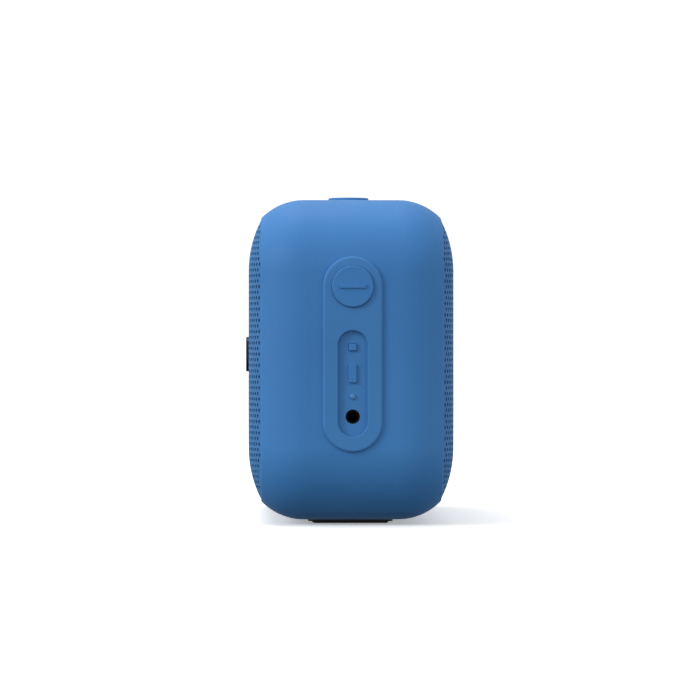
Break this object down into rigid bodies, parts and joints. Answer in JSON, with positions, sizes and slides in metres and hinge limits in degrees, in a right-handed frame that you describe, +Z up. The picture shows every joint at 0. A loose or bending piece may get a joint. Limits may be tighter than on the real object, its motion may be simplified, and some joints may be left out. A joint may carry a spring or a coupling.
{
  "type": "portable bluetooth speaker",
  "caption": "Upright rounded box speaker in a silicone sleeve, with perforated grilles, a plain badge, raised round keys and a port recess on its end.",
  "frame": {"origin": "centre of the foot's underside, on the surface that the speaker stands on", "axes": "+X along the speaker towards the end with the ports, -Y towards the front grille with the badge, +Z up"},
  "size_m": [0.2106, 0.0747, 0.1187],
  "materials": {
    "silicone_blue": "matte",
    "panel_blue": "satin",
    "grille_blue": "satin",
    "foot_black": "matte",
    "badge_dark": "gloss",
    "frame_black": "matte",
    "mesh_black": "matte",
    "gasket_foam": "matte",
    "light_pipe": "gloss",
    "socket_black": "gloss",
    "steel": "satin",
    "screw_steel": "satin",
    "board_green": "satin",
    "component_dark": "satin",
    "basket_steel": "satin",
    "surround_rubber": "matte",
    "cone_paper": "matte",
    "spider_cloth": "matte",
    "coil_copper": "satin",
    "magnet_ferrite": "matte",
    "cell_wrap": "satin",
    "lead_red": "satin"
  },
  "bodies": {
    "casing": {"silicone_sleeve": "silicone_blue", "core_frame": "frame_black", "end_panel_right": "panel_blue", "end_panel_left": "panel_blue", "top_panel": "panel_blue", "base_foot": "foot_black", "front_grille": "grille_blue", "rear_grille": "grille_blue", "front_acoustic_mesh": "mesh_black", "rear_acoustic_mesh": "mesh_black", "front_badge": "badge_dark", "front_baffle": "frame_black", "rear_baffle": "frame_black", "front_gasket": "gasket_foam", "rear_gasket": "gasket_foam", "status_light_pipe": "light_pipe", "aux_socket": "socket_black", "usb_socket": "steel", "port_board": "board_green", "port_board_parts": "component_dark", "left_key_board": "board_green", "top_key_board": "board_green", "top_key_switches": "component_dark", "main_board": "board_green", "main_board_parts": "component_dark", "battery_tray": "frame_black", "battery_cells": "cell_wrap", "radiator_frame": "frame_black", "radiator_surround": "surround_rubber", "leads": "lead_red", "baffle_screws": "screw_steel", "driver_screws": "screw_steel", "board_screws": "screw_steel", "driver_left_basket": "basket_steel", "driver_left_surround": "surround_rubber", "driver_left_spider": "spider_cloth", "driver_left_front_plate": "steel", "driver_left_magnet": "magnet_ferrite", "driver_left_yoke": "steel", "driver_right_basket": "basket_steel", "driver_right_surround": "surround_rubber", "driver_right_spider": "spider_cloth", "driver_right_front_plate": "steel", "driver_right_magnet": "magnet_ferrite", "driver_right_yoke": "steel"},
    "key_power": {"key_power": "silicone_blue"},
    "key_play": {"key_play": "silicone_blue"},
    "key_pairing": {"key_pairing": "silicone_blue"},
    "key_volume_down": {"key_volume_down": "silicone_blue"},
    "key_volume_up": {"key_volume_up": "silicone_blue"},
    "reset_button": {"reset_button": "panel_blue"},
    "usb_port_plug": {"usb_port_plug": "silicone_blue"},
    "left_cone": {"driver_left_cone": "cone_paper", "driver_left_dust_cap": "cone_paper", "driver_left_voice_coil": "coil_copper"},
    "right_cone": {"driver_right_cone": "cone_paper", "driver_right_dust_cap": "cone_paper", "driver_right_voice_coil": "coil_copper"},
    "radiator_plate": {"radiator_diaphragm": "frame_black", "radiator_weight": "steel"}
  },
  "joints": [
    {"name": "power_press", "type": "slide", "parent": "casing", "child": "key_power", "axis": [0, 0, -1], "range_m": [0, 0.0005], "stiffness_N_per_m": 3000},
    {"name": "play_press", "type": "slide", "parent": "casing", "child": "key_play", "axis": [0, 0, -1], "range_m": [0, 0.0005], "stiffness_N_per_m": 3000},
    {"name": "pairing_press", "type": "slide", "parent": "casing", "child": "key_pairing", "axis": [0, 0, -1], "range_m": [0, 0.0005], "stiffness_N_per_m": 3000},
    {"name": "volume_down_press", "type": "slide", "parent": "casing", "child": "key_volume_down", "axis": [-1, 0, 0], "range_m": [0, 0.0005], "stiffness_N_per_m": 3000},
    {"name": "volume_up_press", "type": "slide", "parent": "casing", "child": "key_volume_up", "axis": [1, 0, 0], "range_m": [0, 0.0005], "stiffness_N_per_m": 3000},
    {"name": "reset_press", "type": "slide", "parent": "casing", "child": "reset_button", "axis": [-1, 0, 0], "range_m": [0, 0.0004], "stiffness_N_per_m": 2000},
    {"name": "plug_pull", "type": "slide", "parent": "casing", "child": "usb_port_plug", "axis": [1, 0, 0], "range_m": [0, 0.008]},
    {"name": "left_cone_stroke", "type": "slide", "parent": "casing", "child": "left_cone", "axis": [0, -1, 0], "range_m": [-0.002, 0.002], "stiffness_N_per_m": 1600, "deforming": ["driver_left_surround", "driver_left_spider"]},
    {"name": "right_cone_stroke", "type": "slide", "parent": "casing", "child": "right_cone", "axis": [0, -1, 0], "range_m": [-0.002, 0.002], "stiffness_N_per_m": 1600, "deforming": ["driver_right_surround", "driver_right_spider"]},
    {"name": "radiator_stroke", "type": "slide", "parent": "casing", "child": "radiator_plate", "axis": [0, 1, 0], "range_m": [-0.003, 0.003], "stiffness_N_per_m": 3000, "deforming": ["radiator_surround"]}
  ]
}
